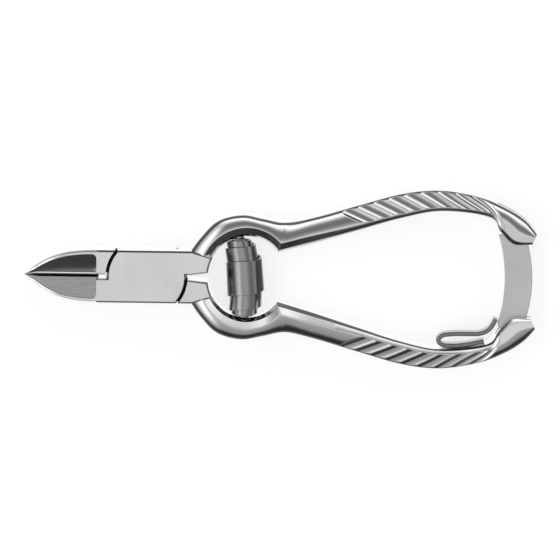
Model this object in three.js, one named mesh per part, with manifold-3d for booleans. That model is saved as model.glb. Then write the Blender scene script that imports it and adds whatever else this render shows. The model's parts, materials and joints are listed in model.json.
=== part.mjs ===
// A toenail nipper: two crossed levers on a lap joint, a double volute spring between the handles,
// and a sickle-shaped strap latch that holds the handles closed.
//
// Millimetres. The origin is on the pivot axis, in the joint's flat back face. +X runs from the
// pivot towards the handle ends, +Y towards the upper handle, +Z towards the front.
// The two levers are one forging, the second turned half a turn about the long axis. They differ
// only in the jaws, which are both ground hollow from the front.
import * as THREE from "three";
import { mergeVertices } from "three/addons/utils/BufferGeometryUtils.js";
import Module from "manifold-3d";

const wasm = await Module();
wasm.setup();

// ---------------------------------------------------------------- driving dimensions

const LENGTH = 140; // jaw tip to handle end
const TIP_X = -33.5; // jaw tip, measured from the pivot
const END_X = TIP_X + LENGTH;
const JOINT_DEPTH = 10.1; // back face to front face of the joint
const MID = JOINT_DEPTH / 2;
const HANDLE_HALF = 5.4; // half depth of the handles, which stand proud of the joint's faces

// Lap joint
const JOINT_HALF = 7.2; // half the width across the joint
const LAP_RADIUS = 10.8; // round ends of each lever's half-thickness plate
const LAP_GAP = 0.45; // between a plate's round end and the shoulder around it
const LAP_PLAY = 0.05; // each plate stops this far short of the middle plane
const RIVET_RADIUS = 2.6;
const PIN_PLAY = 0.05; // radial clearance of every pin in its hole
const SKIN = 0.6; // metal left over the polished-over ends of the pins

// Jaws
const SHOULDER_X = -13.7; // where the hollow ground jaw starts
const JAW_TAPER_X = -12; // where the outline starts to draw in towards the tip
const TIP_HALF = 0.25; // half width of the blunted tip
const EDGE_PLAY = 0.05; // each cutting edge stops this far short of the other
const EDGE_HEIGHT = 2; // of the cutting edge
const RIM = 1; // width of the rim around the hollow
const HOLLOW_SLOPE = 0.6; // of each side of the hollow
const HOLLOW_FLOOR = JOINT_DEPTH - HOLLOW_SLOPE * (JOINT_HALF - RIM); // where its two sides would meet
const CLEFT_HALF = 0.6;
const NOTCH = 0.5; // relief below the shoulder, so that only the edges meet

// Opening between the levers that holds the spring: an ellipse
const BOW = { x: 27.3, halfLength: 10.6, halfHeight: 11.3 };
const CORNER_X = 35.8; // inner corner where the bow ends and the straight handle starts
const ROOT = { outerX: 12.4, top: 5.5, foot: 1.3 }; // end of the ground joint face, along the bow

// Latch
const LATCH_PIVOT = new THREE.Vector2(100.3, -14.3);
const CATCH = new THREE.Vector2(100, 13.8);
const STRAP_THICKNESS = 1.3;
const STRAP_PLAY = 0.3; // on each side of the strap in its slots
const SLOT_X = 95.8; // floor of the slot in each handle end
const LATCH_PIN_RADIUS = 1.3;
const CATCH_PIN_RADIUS = 1;
const CHEEK_HALF = 4.4; // half depth of the handle ends where their faces slope over the pins

// Spring: a strip wound as a double cone. Widths and radii shrink with each turn from the middle.
const SPRING = {
  x: 25.9,
  bulge: 1.2, // sideways bow of its axis
  lean: 0.07, // slope of its axis
  halfHeight: 10.3,
  turns: 3.3, // each way from the middle
  thickness: 0.6,
  radius: 5.3,
  taper: 0.9,
  width: 9.4,
  narrowing: 1.5,
  climb: 9.3, // how far the outermost turns' centres could rise from the middle
  play: 0.3, // left between the strip and the wall of the opening
};
const PEG_RADIUS = 1.3;
const PEG_REACH = 3.2; // how far a peg stands up inside the spring

// Scoops across the outer side of each handle, mirrored about the middle plane
const GRIP = { firstX: 58.5, pitch: 4.3, count: 9, lean: 0.62, radius: 2.6, depth: 0.6, length: 12 };

const OVERLAP = 0.5; // how far the jaw runs into the joint
const ROUND = 48; // sides of a full circle

// ---------------------------------------------------------------- materials

const polished = new THREE.MeshStandardMaterial({ color: 0xc9cbcd, roughness: 0.14, metalness: 1 });
const satin = new THREE.MeshStandardMaterial({ color: 0xbfc1c3, roughness: 0.32, metalness: 1 });
const springSteel = new THREE.MeshStandardMaterial({ color: 0x8e8f92, roughness: 0.26, metalness: 1 });

// ---------------------------------------------------------------- solids

function solidOf(geometry) {
  const bare = geometry.index ? geometry.toNonIndexed() : geometry.clone();
  bare.deleteAttribute("normal");
  bare.deleteAttribute("uv");
  const merged = mergeVertices(bare, 1e-4);
  return new wasm.Manifold(
    new wasm.Mesh({
      numProp: 3,
      vertProperties: merged.attributes.position.array,
      triVerts: new Uint32Array(merged.index.array),
    }),
  );
}

function meshOf(solid, name, material) {
  const { vertProperties, triVerts } = solid.getMesh();
  const geometry = new THREE.BufferGeometry();
  geometry.setAttribute("position", new THREE.BufferAttribute(vertProperties, 3));
  geometry.setIndex(new THREE.BufferAttribute(triVerts, 1));
  geometry.computeVertexNormals();
  const mesh = new THREE.Mesh(geometry, material);
  mesh.name = name;
  return mesh;
}

// A flat shape given thickness from z = low to z = high.
function plate(shape, low, high) {
  const geometry = new THREE.ExtrudeGeometry(shape, {
    depth: high - low,
    bevelEnabled: false,
    curveSegments: 16,
  });
  return solidOf(geometry.translate(0, 0, low));
}

function cylinder(radius, x, y, low, high) {
  const geometry = new THREE.CylinderGeometry(radius, radius, high - low, ROUND);
  return solidOf(geometry.rotateX(Math.PI / 2).translate(x, y, (low + high) / 2));
}

function box(lowX, highX, lowY, highY, lowZ, highZ) {
  const geometry = new THREE.BoxGeometry(highX - lowX, highY - lowY, highZ - lowZ);
  return solidOf(geometry.translate((lowX + highX) / 2, (lowY + highY) / 2, (lowZ + highZ) / 2));
}

// A solid through a row of rings with equal point counts. The rings turn anticlockwise as seen
// from the end of the row. They close on themselves, and the first and last are capped.
function loft(rings) {
  const count = rings[0].length;
  const index = [];
  for (let ring = 0; ring + 1 < rings.length; ring++) {
    for (let i = 0; i < count; i++) {
      const a = ring * count + i;
      const b = ring * count + ((i + 1) % count);
      index.push(a, b, b + count, a, b + count, a + count);
    }
  }
  const last = (rings.length - 1) * count;
  const outline = (ring) => ring.map((p) => new THREE.Vector2(p.y, p.z));
  for (const [a, b, c] of THREE.ShapeUtils.triangulateShape(outline(rings[0]), [])) {
    index.push(c, b, a);
  }
  for (const [a, b, c] of THREE.ShapeUtils.triangulateShape(outline(rings.at(-1)), [])) {
    index.push(last + a, last + b, last + c);
  }
  const geometry = new THREE.BufferGeometry().setFromPoints(rings.flat());
  geometry.setIndex(index);
  return solidOf(geometry);
}

// ---------------------------------------------------------------- lever: jaw

// 0 where the jaw is parallel, 1 at its tip.
const taperAt = (x) => Math.max(0, (JAW_TAPER_X - x) / (JAW_TAPER_X - TIP_X));
const jawHalfAt = (x) => Math.max(TIP_HALF, JOINT_HALF * (1 - taperAt(x) ** 3));

// The lower jaw's section at x. The front is hollow ground at one slope from a rim down to a
// steep cleft that ends at the cutting edge; the back is relieved by a short bevel. The jaw gets
// thinner towards the tip so that the rim follows the hollow.
function jawRing(x) {
  const taper = taperAt(x);
  const half = jawHalfAt(x);
  const size = Math.min(1, half / 3); // shrinks the small features towards the tip
  const rim = half - Math.min(RIM, 0.4 * half);
  const front = HOLLOW_FLOOR + HOLLOW_SLOPE * rim;
  const back = 0.9 * taper ** 2;
  const cleft = CLEFT_HALF * size;
  const flank = 1.2 * size;
  return [
    [-EDGE_PLAY, EDGE_HEIGHT],
    [-2 * size, back],
    [-half + 0.5 * size, back],
    [-half, back + flank],
    [-half, front - flank],
    [-half + 0.4 * size, front],
    [-rim, front],
    [-cleft, HOLLOW_FLOOR + HOLLOW_SLOPE * cleft],
  ].map(([y, z]) => new THREE.Vector3(x, y, z));
}

// groundFrom is +1 when the hollow faces the side of the lever's plate, -1 when it faces away.
function jaw(groundFrom) {
  const steps = 14;
  const rings = [];
  for (let i = 0; i <= steps; i++) {
    const share = i / steps;
    rings.push(jawRing(TIP_X + (SHOULDER_X + OVERLAP - TIP_X) * share ** 1.4));
  }
  if (groundFrom > 0) return loft(rings.map((ring) => ring.slice().reverse()));
  return loft(rings.map((ring) => ring.map((p) => new THREE.Vector3(p.x, p.y, JOINT_DEPTH - p.z))));
}

// ---------------------------------------------------------------- lever: joint plate

// Outline of the joint: shoulder behind the jaw, round lap ends, and the root of the handle,
// which ends at the opening for the spring.
function jointOutline() {
  const lapEnd = Math.asin(JOINT_HALF / LAP_RADIUS);
  const shape = new THREE.Shape();
  shape.moveTo(SHOULDER_X, -NOTCH);
  shape.absarc(0, 0, LAP_RADIUS, Math.PI + NOTCH / LAP_RADIUS, Math.PI - lapEnd, true);
  shape.lineTo(ROOT.outerX, JOINT_HALF);
  const onBow = (y) => Math.PI - Math.asin(y / BOW.halfHeight);
  shape.absellipse(BOW.x, 0, BOW.halfLength, BOW.halfHeight, onBow(ROOT.top), onBow(ROOT.foot), false);
  shape.absarc(0, 0, LAP_RADIUS, 0.05, -lapEnd, true);
  shape.lineTo(SHOULDER_X, -JOINT_HALF);
  return shape;
}

// ---------------------------------------------------------------- lever: handle

// The handle lies between an outer and an inner line. A station counts the outer line's points.
const OUTER_LINE = [
  [11.2, 5.9],
  [14.7, 10.9],
  [19.4, 15.5],
  [26, 17.2],
  [32, 16.2],
  [38, 15.2],
  [46, 16.8],
  [58, 20.3],
  [70, 23.6],
  [80.5, 24.6],
  [91, 22.9],
  [98, 20.1],
  [103.2, 16.9],
  [END_X, 13.2],
];
const INNER_LINE = [
  [CORNER_X, 6.75],
  [46, 9.7],
  [58, 13.4],
  [69.5, 16.9],
  [80.5, 19],
  [93.3, 17.5],
  [96.6, 13.6],
  [100.2, 10.3],
  [105.2, 10.3],
];
const CORNER_STATION = 5;
const LAST_STATION = OUTER_LINE.length - 1;
const ROOT_ANGLE = 0.4; // on the bow's ellipse, where the handle leaves the joint plate
const CORNER_ANGLE = Math.PI - Math.acos((CORNER_X - BOW.x) / BOW.halfLength);

// Half depth, and how far the two inner facets reach across the bar, each by station.
const HALF_DEPTH = [
  [0, 0.86 * HANDLE_HALF],
  [1, 0.97 * HANDLE_HALF],
  [2, HANDLE_HALF],
  [4, 0.96 * HANDLE_HALF],
  [9, 0.93 * HANDLE_HALF],
  [11, HANDLE_HALF],
  [LAST_STATION, HANDLE_HALF],
];
const FACETS = [
  [0, 2.4],
  [5, 3.3],
  [7, 3],
  [9, 2.2],
  [11, 4],
  [12, 4],
  [LAST_STATION, 1.6],
];
// Heights of the section's three corners on the inner side, as shares of the half depth. The
// middle corner lies at DRAFT_REACH of the facets' reach.
const RIDGE_HEIGHT = [
  [0, 0.25],
  [9.6, 0.25],
  [11, 0.78],
  [LAST_STATION, 0.78],
];
const DRAFT_HEIGHT = [
  [0, 0.74],
  [2, 0.74],
  [5, 0.69],
  [7, 0.71],
  [9.6, 0.76],
  [11, 0.94],
  [LAST_STATION, 0.94],
];
const BEVEL_HEIGHT = 0.97;
const DRAFT_REACH = 0.36;
// Outer side: a crown that turns this far from the face, then a tight corner down to a flat side
const CROWN_TURN = 0.66;
const CORNER_RADIUS = 1.4;
const SCOOP_TILT = 0.3; // slope of the crown where the scoops are centred

const curve = (points) => new THREE.SplineCurve(points.map(([x, y]) => new THREE.Vector2(x, y)));
const outerCurve = curve(OUTER_LINE);
const innerCurve = curve(INNER_LINE);

function byStation(table, station) {
  const next = Math.max(1, table.findIndex(([at]) => at >= station));
  const [[from, low], [to, high]] = [table[next - 1], table[next]];
  return THREE.MathUtils.mapLinear(station, from, to, low, high);
}

function innerAt(station) {
  if (station > CORNER_STATION) {
    return innerCurve.getPoint((station - CORNER_STATION) / (LAST_STATION - CORNER_STATION));
  }
  const angle = THREE.MathUtils.lerp(ROOT_ANGLE, CORNER_ANGLE, station / CORNER_STATION);
  return new THREE.Vector2(
    BOW.x - BOW.halfLength * Math.cos(angle),
    BOW.halfHeight * Math.sin(angle),
  );
}

// The handle's section at a station. crownAt gives (across, height) on the crown.
function sectionAt(station) {
  const inner = innerAt(station);
  const outer = outerCurve.getPoint(station / LAST_STATION);
  const width = inner.distanceTo(outer);
  const half = byStation(HALF_DEPTH, station);
  const facets = byStation(FACETS, station);
  const round = 0.95 * (width - facets); // reach of the crown and its corner
  const crownRadius = (round - CORNER_RADIUS * (1 - Math.sin(CROWN_TURN))) / Math.sin(CROWN_TURN);
  const crownAt = (turn) => [
    width - round + crownRadius * Math.sin(turn),
    half - crownRadius * (1 - Math.cos(turn)),
  ];
  return { inner, outer, width, half, facets, crownAt };
}

// Faceted inside, rounded outside. Points run from the inner side round the outer one.
function handleRing(station) {
  const { inner, outer, width, half, facets, crownAt } = sectionAt(station);
  const ridge = [0, byStation(RIDGE_HEIGHT, station) * half];
  const draft = [DRAFT_REACH * facets, byStation(DRAFT_HEIGHT, station) * half];
  const bevel = [facets, BEVEL_HEIGHT * half];
  const [crownEnd, crownDrop] = crownAt(CROWN_TURN);
  const cornerAt = (turn) => [
    crownEnd + CORNER_RADIUS * (Math.sin(turn) - Math.sin(CROWN_TURN)),
    crownDrop + CORNER_RADIUS * (Math.cos(turn) - Math.cos(CROWN_TURN)),
  ];
  const front = [ridge, draft, bevel];
  for (const share of [0, 0.33, 0.67, 1]) front.push(crownAt(share * CROWN_TURN));
  front.push(cornerAt((CROWN_TURN + Math.PI / 2) / 2), cornerAt(Math.PI / 2));
  const back = front.map(([across, z]) => [across, -z]);
  const section = [...back, ...front.reverse()];
  return section.map(([across, z]) => {
    const p = inner.clone().lerp(outer, across / width);
    return new THREE.Vector3(p.x, p.y, MID + z);
  });
}

function handle() {
  const steps = 52;
  const rings = [];
  for (let i = 0; i <= steps; i++) rings.push(handleRing((LAST_STATION * i) / steps));
  return loft(rings);
}

function stationAtX(x) {
  let [low, high] = [0, 1];
  for (let i = 0; i < 30; i++) {
    const middle = (low + high) / 2;
    if (outerCurve.getPoint(middle).x < x) low = middle;
    else high = middle;
  }
  return low * LAST_STATION;
}

// A leaning cylinder that bites into the crown on the front face (side +1) or the back face
// (side -1).
function scoop(station, side) {
  const { inner, outer, crownAt } = sectionAt(station);
  const outwards = outer.clone().sub(inner).normalize();
  const [across, height] = crownAt(SCOOP_TILT);
  const at = inner.clone().addScaledVector(outwards, across);
  const surface = new THREE.Vector3(at.x, at.y, MID + side * height);
  const normal = new THREE.Vector3(outwards.x, outwards.y, 0).multiplyScalar(Math.sin(SCOOP_TILT));
  normal.z = side * Math.cos(SCOOP_TILT);
  const slope = outerCurve.getTangent(station / LAST_STATION);
  const along = new THREE.Vector3(slope.x, slope.y, 0);
  const towardsFace = new THREE.Vector3().crossVectors(along, normal).multiplyScalar(-side);
  const axis = along.multiplyScalar(Math.cos(GRIP.lean)).addScaledVector(towardsFace, Math.sin(GRIP.lean));
  const geometry = new THREE.CylinderGeometry(GRIP.radius, GRIP.radius, GRIP.length, ROUND / 2);
  geometry.applyQuaternion(new THREE.Quaternion().setFromUnitVectors(new THREE.Vector3(0, 1, 0), axis.normalize()));
  const centre = surface.addScaledVector(normal, GRIP.radius - GRIP.depth);
  return solidOf(geometry.translate(centre.x, centre.y, centre.z));
}

function grippedHandle() {
  let grip = handle();
  for (let i = 0; i < GRIP.count; i++) {
    const station = stationAtX(GRIP.firstX + i * GRIP.pitch);
    grip = grip.subtract(scoop(station, 1)).subtract(scoop(station, -1));
  }
  return grip;
}

// ---------------------------------------------------------------- lever

const PEG_ROOT = 13.8; // foot of each peg, measured from the middle line
const UPPER_PEG_X = SPRING.x - SPRING.lean * SPRING.halfHeight;
const LOWER_PEG_X = SPRING.x + SPRING.lean * SPRING.halfHeight;

function pegHole(x) {
  const radius = PEG_RADIUS + PIN_PLAY;
  const low = BOW.halfHeight - 1.4;
  const high = PEG_ROOT + 0.1;
  const geometry = new THREE.CylinderGeometry(radius, radius, high - low, ROUND);
  return solidOf(geometry.translate(x, (low + high) / 2, MID));
}

function strapSlot() {
  const half = STRAP_THICKNESS / 2 + STRAP_PLAY;
  return box(SLOT_X, END_X + 5, 0, 30, MID - half, MID + half);
}

// One forging, in the frame of the front lever: lower jaw, plate in the front half, upper handle.
function lever(groundFrom, pegX, endPinHole) {
  return jaw(groundFrom)
    .add(plate(jointOutline(), 0, JOINT_DEPTH))
    .add(grippedHandle())
    .subtract(cylinder(LAP_RADIUS + LAP_GAP, 0, 0, -1, MID + LAP_PLAY))
    .subtract(cylinder(RIVET_RADIUS + PIN_PLAY, 0, 0, MID - 1, JOINT_DEPTH - SKIN))
    .subtract(pegHole(pegX))
    .subtract(strapSlot())
    .subtract(endPinHole);
}

// ---------------------------------------------------------------- pins and pegs

// A pin whose two ends stop under the skin of a part of the given half depth.
function pin(radius, at, halfDepth) {
  const reach = halfDepth - SKIN - PIN_PLAY;
  return cylinder(radius, at.x, at.y, MID - reach, MID + reach);
}

function pinHole(radius, at) {
  const reach = CHEEK_HALF - SKIN;
  return cylinder(radius + PIN_PLAY, at.x, at.y, MID - reach, MID + reach);
}

// A domed peg standing on the inside of the bow, for the end turns of the spring.
function springPeg(x) {
  const tip = BOW.halfHeight - PEG_REACH;
  const profile = new THREE.Path();
  profile.moveTo(0, tip);
  profile.absellipse(0, tip + 0.8, PEG_RADIUS, 0.8, -Math.PI / 2, 0, false);
  profile.lineTo(PEG_RADIUS, PEG_ROOT);
  profile.lineTo(0, PEG_ROOT);
  return solidOf(new THREE.LatheGeometry(profile.getPoints(6), ROUND).translate(x, 0, MID));
}

// ---------------------------------------------------------------- spring

// The strip at a turn counted from the middle of the spring. Each turn sits inside the one
// nearer the middle and stands out beyond it.
function stripAt(turn) {
  const away = Math.abs(turn);
  const centre = (Math.sign(turn) * SPRING.climb * away ** 1.5) / (away ** 1.5 + 1);
  const skew = 0.5 * THREE.MathUtils.clamp(turn * 2, -1, 1); // the lower turns are the wider ones
  const width = SPRING.width - SPRING.narrowing * away + 0.1 * away ** 2 - skew;
  return { centre, width, radius: SPRING.radius - SPRING.taper * away };
}

function barrelSpring() {
  const stepsPerTurn = 20;
  const steps = Math.round(2 * SPRING.turns * stepsPerTurn);
  const rings = [];
  for (let i = 0; i <= steps; i++) {
    const turn = -SPRING.turns + (2 * SPRING.turns * i) / steps;
    const { centre, width, radius } = stripAt(turn);
    const angle = 2 * Math.PI * turn;
    const corner = (r, y) => {
      const bow = SPRING.bulge * (1 - (y / SPRING.halfHeight) ** 2);
      const x = SPRING.x + bow - SPRING.lean * y + r * Math.sin(angle);
      const wall = BOW.halfHeight * Math.sqrt(1 - ((x - BOW.x) / BOW.halfLength) ** 2);
      const reach = wall - SPRING.play;
      return new THREE.Vector3(x, THREE.MathUtils.clamp(y, -reach, reach), MID + r * Math.cos(angle));
    };
    const inner = radius - SPRING.thickness;
    const [low, high] = [centre - width / 2, centre + width / 2];
    rings.push([corner(radius, low), corner(radius, high), corner(inner, high), corner(inner, low)]);
  }
  return loftQuads(rings);
}

// A loft of four-cornered rings whose end caps may face any way.
function loftQuads(rings) {
  const index = [];
  for (let ring = 0; ring + 1 < rings.length; ring++) {
    for (let i = 0; i < 4; i++) {
      const a = ring * 4 + i;
      const b = ring * 4 + ((i + 1) % 4);
      index.push(a, b + 4, b, a, a + 4, b + 4);
    }
  }
  const last = (rings.length - 1) * 4;
  index.push(0, 1, 2, 0, 2, 3, last, last + 2, last + 1, last, last + 3, last + 2);
  const geometry = new THREE.BufferGeometry().setFromPoints(rings.flat());
  geometry.setIndex(index);
  return solidOf(geometry);
}

// ---------------------------------------------------------------- latch

// A sickle of sheet steel: round heel on the latch pin, and a finger that passes outside the
// catch pin above a round seat. The finger has no beak, so the handles can open on their own.
function latchStrap() {
  const outer = { x: 67.6, radius: 38 };
  const inner = { x: 56.1, radius: 42 };
  const heel = 3.55;
  const fingerEnd = CATCH.y + 2.6;
  const onto = (arc, y) => Math.asin(y / arc.radius);
  const xOn = (arc, y) => arc.x + arc.radius * Math.cos(onto(arc, y));
  const heelTop = LATCH_PIVOT.y + 2.2;
  const seat = CATCH_PIN_RADIUS + 0.3;
  const shape = new THREE.Shape();
  shape.absarc(outer.x, 0, outer.radius, onto(outer, heelTop), onto(outer, fingerEnd - 0.6), false);
  shape.lineTo(xOn(outer, fingerEnd) - 0.5, fingerEnd);
  shape.lineTo(CATCH.x + seat, fingerEnd - 0.3);
  shape.absarc(CATCH.x, CATCH.y, seat, 0, -Math.PI / 2, true);
  shape.lineTo(xOn(inner, CATCH.y - seat), CATCH.y - seat);
  shape.absarc(inner.x, 0, inner.radius, onto(inner, CATCH.y - seat - 0.3), onto(inner, heelTop), true);
  shape.absarc(LATCH_PIVOT.x, LATCH_PIVOT.y, heel, Math.PI, 2 * Math.PI, false);
  const low = MID - STRAP_THICKNESS / 2;
  const high = MID + STRAP_THICKNESS / 2;
  const pinHole = cylinder(LATCH_PIN_RADIUS + PIN_PLAY, LATCH_PIVOT.x, LATCH_PIVOT.y, low - 1, high + 1);
  return plate(shape, low, high).subtract(pinHole);
}

// A hairpin of spring strip on the inside of the lower handle. Its free limb bears on the strap.
function latchSpring() {
  const thickness = 1.2;
  const width = 5;
  const line = new THREE.CatmullRomCurve3(
    [
      [92.6, -16.9],
      [88, -17.85],
      [83.6, -18.25],
      [81, -17.9],
      [80.1, -16.7],
      [81.1, -15.5],
      [84, -15],
      [88, -14.9],
      [91.4, -14.8],
      [93.6, -13.9],
      [94.9, -12.4],
      [95.8, -10.6],
    ].map(([x, y]) => new THREE.Vector3(x, y, MID)),
    false,
    "centripetal",
  );
  const steps = 56;
  const rings = [];
  for (let i = 0; i <= steps; i++) {
    const at = line.getPoint(i / steps);
    const along = line.getTangent(i / steps);
    const across = new THREE.Vector3(-along.y, along.x, 0).multiplyScalar(thickness / 2);
    const corner = (side, z) => at.clone().addScaledVector(across, side).setZ(MID + z);
    rings.push([
      corner(1, -width / 2),
      corner(-1, -width / 2),
      corner(-1, width / 2),
      corner(1, width / 2),
    ]);
  }
  return loftQuads(rings);
}

// ---------------------------------------------------------------- assembly

const nipper = new THREE.Group();

const frontLever = new THREE.Group();
const catchHole = pinHole(CATCH_PIN_RADIUS, CATCH);
frontLever.add(meshOf(lever(1, UPPER_PEG_X, catchHole), "front_lever", polished));
frontLever.add(meshOf(springPeg(UPPER_PEG_X), "upper_spring_peg", springSteel));
frontLever.add(meshOf(pin(CATCH_PIN_RADIUS, CATCH, CHEEK_HALF), "catch_pin", satin));

// The back lever's own pieces are drawn in the front lever's frame, then turned over.
const backLever = new THREE.Group();
backLever.rotation.x = Math.PI;
backLever.position.z = JOINT_DEPTH;
const latchHole = pinHole(LATCH_PIN_RADIUS, new THREE.Vector2(LATCH_PIVOT.x, -LATCH_PIVOT.y));
backLever.add(meshOf(lever(-1, LOWER_PEG_X, latchHole), "back_lever", polished));
backLever.add(meshOf(springPeg(LOWER_PEG_X), "lower_spring_peg", springSteel));

nipper.add(frontLever, backLever);
nipper.add(meshOf(pin(RIVET_RADIUS, new THREE.Vector2(), MID), "joint_rivet", satin));
nipper.add(meshOf(barrelSpring(), "barrel_spring", springSteel));
nipper.add(meshOf(latchStrap(), "latch_strap", satin));
nipper.add(meshOf(pin(LATCH_PIN_RADIUS, LATCH_PIVOT, CHEEK_HALF), "latch_pin", satin));
nipper.add(meshOf(latchSpring(), "latch_spring", springSteel));

export default nipper;
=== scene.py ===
"""Looks of a toenail nipper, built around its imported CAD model.

The levers, the spring, the strap and the hairpin are rebuilt here as fine meshes with rounded
edges. Lengths in the code are millimetres in the CAD's frame and become metres in new_object().
"""
import json
import math

import bpy
import numpy as np
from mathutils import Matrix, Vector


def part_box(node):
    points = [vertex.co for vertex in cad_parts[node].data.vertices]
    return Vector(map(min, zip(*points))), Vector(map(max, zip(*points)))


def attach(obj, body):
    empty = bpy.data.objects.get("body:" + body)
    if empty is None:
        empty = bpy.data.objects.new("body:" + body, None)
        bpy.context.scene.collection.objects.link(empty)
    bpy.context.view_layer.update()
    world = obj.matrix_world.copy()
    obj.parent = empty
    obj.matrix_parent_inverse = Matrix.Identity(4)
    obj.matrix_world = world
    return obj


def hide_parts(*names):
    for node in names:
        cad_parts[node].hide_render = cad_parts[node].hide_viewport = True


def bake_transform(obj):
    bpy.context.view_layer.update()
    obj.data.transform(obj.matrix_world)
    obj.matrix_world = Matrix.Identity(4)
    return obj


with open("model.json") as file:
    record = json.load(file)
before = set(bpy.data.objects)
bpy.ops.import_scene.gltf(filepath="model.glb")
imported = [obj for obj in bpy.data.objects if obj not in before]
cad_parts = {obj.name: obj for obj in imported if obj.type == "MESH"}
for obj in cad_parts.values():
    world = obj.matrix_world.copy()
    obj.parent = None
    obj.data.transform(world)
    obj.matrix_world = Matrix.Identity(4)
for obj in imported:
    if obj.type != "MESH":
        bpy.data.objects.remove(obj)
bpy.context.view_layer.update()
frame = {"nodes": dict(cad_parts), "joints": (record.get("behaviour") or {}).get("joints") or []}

# ---------------------------------------------------------------- sizes from the frame

MM = 1000.0


def box_mm(node):
    """Low and high corner of a CAD node's box, in millimetres."""
    low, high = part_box(node)
    return np.array(low) * MM, np.array(high) * MM


LEVER_LOW, LEVER_HIGH = box_mm("front_lever")
TIP_X = LEVER_LOW[0]
END_X = LEVER_HIGH[0]
MID = (LEVER_LOW[2] + LEVER_HIGH[2]) / 2
JOINT_DEPTH = 2 * MID
HANDLE_HALF = (LEVER_HIGH[2] - LEVER_LOW[2]) / 2
STRAP_LOW, STRAP_HIGH = box_mm("latch_strap")
HAIRPIN_LOW, HAIRPIN_HIGH = box_mm("latch_spring")
latch_joint = [joint for joint in frame["joints"] if joint["name"] == "latch_swing"][0]
LATCH_PIVOT = np.array(latch_joint["pos_m"][:2]) * MM
catch_low, catch_high = box_mm("catch_pin")
CATCH = (catch_low[:2] + catch_high[:2]) / 2
CATCH_RADIUS = (catch_high[0] - catch_low[0]) / 2

# Shape of the CAD model, repeated from its source. The handle's section differs a little from it:
# narrower facets along the grip, a crown that leans outwards and a rounder outer corner.

# The plate at the joint. Its inner half is cut away in a circle, to take the other lever's plate.
JOINT_HALF = 7.2
LAP_RADIUS = 10.8
LAP_GAP = 0.45
LAP_PLAY = 0.05
LAP_START = 0.05  # angle at which the lap's arc leaves the bow, in radians
NOTCH = 0.5
PLATE_CHAMFER = 0.5  # of the joint plate's edges, finer than the CAD model's sharp ones

# The jaws, from the shoulder at the plate to the tip. The hollow slopes down to the cutting edge.
SHOULDER_X = -13.7
JAW_TAPER_X = -12.0
TIP_HALF = 0.25
SHRINK_BELOW = 3.0  # half width under which the section's details shrink with it
EDGE_HEIGHT = 2.0
EDGE_PLAY = 0.05
RIM, RIM_AT_MOST = 1.0, 0.4  # a width, and the largest share of the half width
HOLLOW_SLOPE = 0.6
HOLLOW_FLOOR = JOINT_DEPTH - HOLLOW_SLOPE * (JOINT_HALF - RIM)
HOLLOW_SINE = HOLLOW_SLOPE / math.hypot(1, HOLLOW_SLOPE)
HOLLOW_CORNER = 1.4
WALL_RUN, WALL_SINK = 0.16, 0.3  # run and extra depth of the steep wall inside the rim
CLEFT_HALF = 0.6  # half width of the gap between the hollows
BACK_RISE, BACK_BEVEL, BACK_CORNER = 0.9, 2.0, 0.5
FLANK, FRONT_CORNER = 1.2, 0.4

# The handle. Its bow around the spring is part of an ellipse, and its slotted end holds the strap.
BOW_X, BOW_LENGTH, BOW_HEIGHT = 27.3, 10.6, 11.3
ROOT_X, ROOT_TOP, ROOT_FOOT = 12.4, 5.5, 1.3
ROOT_ANGLE = 0.4
CORNER_X = 35.8
SLOT_X = 95.8
STRAP_PLAY = 0.3

OUTER_LINE = [
    (11.2, 5.9), (14.7, 10.9), (19.4, 15.5), (26, 17.2), (32, 16.2), (38, 15.2), (46, 16.8),
    (58, 20.3), (70, 23.6), (80.5, 24.6), (91, 22.9), (98, 20.1), (103.2, 16.9), (END_X, 13.2),
]
INNER_LINE = [
    (CORNER_X, 6.75), (46, 9.7), (58, 13.4), (69.5, 16.9), (80.5, 19), (93.3, 17.5),
    (96.6, 13.6), (100.2, 10.3), (105.2, 10.3),
]

# The handle's section at each station. A station is a place in OUTER_LINE, and may be a fraction.
# From the inner line outwards it has an upright face up to the ridge, a steep facet, a shallow one
# up to the bevel's edge, a round crown and a round outer corner.
CORNER_STATION = 5
LAST_STATION = len(OUTER_LINE) - 1
HALF_DEPTH = [(0, 0.86), (1, 0.97), (2, 1), (4, 0.96), (9, 0.93), (11, 1), (LAST_STATION, 1)]
FACETS = [  # width of both facets together
    (0, 2.4), (5, 3.3), (7, 1.7), (8.5, 1.1), (10, 1.3), (11, 4), (12, 4), (LAST_STATION, 1.6),
]
FACETS_AT_MOST = 0.7  # share of the section's width
RIDGE_SLOPE = [(0, 2.36), (9.6, 2.36), (11, 0.7), (LAST_STATION, 0.7)]
BEVEL_SLOPE = [(0, 0.6), (9.6, 0.6), (11, 0.13), (LAST_STATION, 0.13)]
RIDGE_SHARE = 0.32  # the steep facet's part of that width
CROWN_SHARE = 0.95  # of the width beside the facets
CROWN_START, CROWN_END = 0.2, 0.66  # tilt of the crown at its two sides, in radians
CORNER_RADIUS = 1.9
RIDGE_ROUNDING, BEVEL_ROUNDING = 0.2, 0.12

# The grip's slanted scoops, each a part of a round channel.
GRIP_START, GRIP_PITCH, GRIP_COUNT = 58.5, 4.3, 9
GRIP_LEAN, GRIP_RADIUS, GRIP_DEPTH = 0.62, 2.6, 0.6
SCOOP_TILT = 0.4  # direction of the cut, in radians from the front towards the outer line
CREASES_FROM, CREASES_TO = GRIP_START - 6, 100.0  # stretch of X where scoops may cross the mesh
CREASE_MARGIN = 0.1  # from the bevel's edge

# Fineness of the meshes.
CROWN_STEPS, CORNER_STEPS = 36, 14
FINE_STEP, COARSE_STEP = 0.17, 0.4  # between the handle's rings, in the grip and elsewhere
FINE_BEYOND = 7.0  # how far the fine rings run on past the first and last scoop
JAW_STEPS = 120

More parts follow.
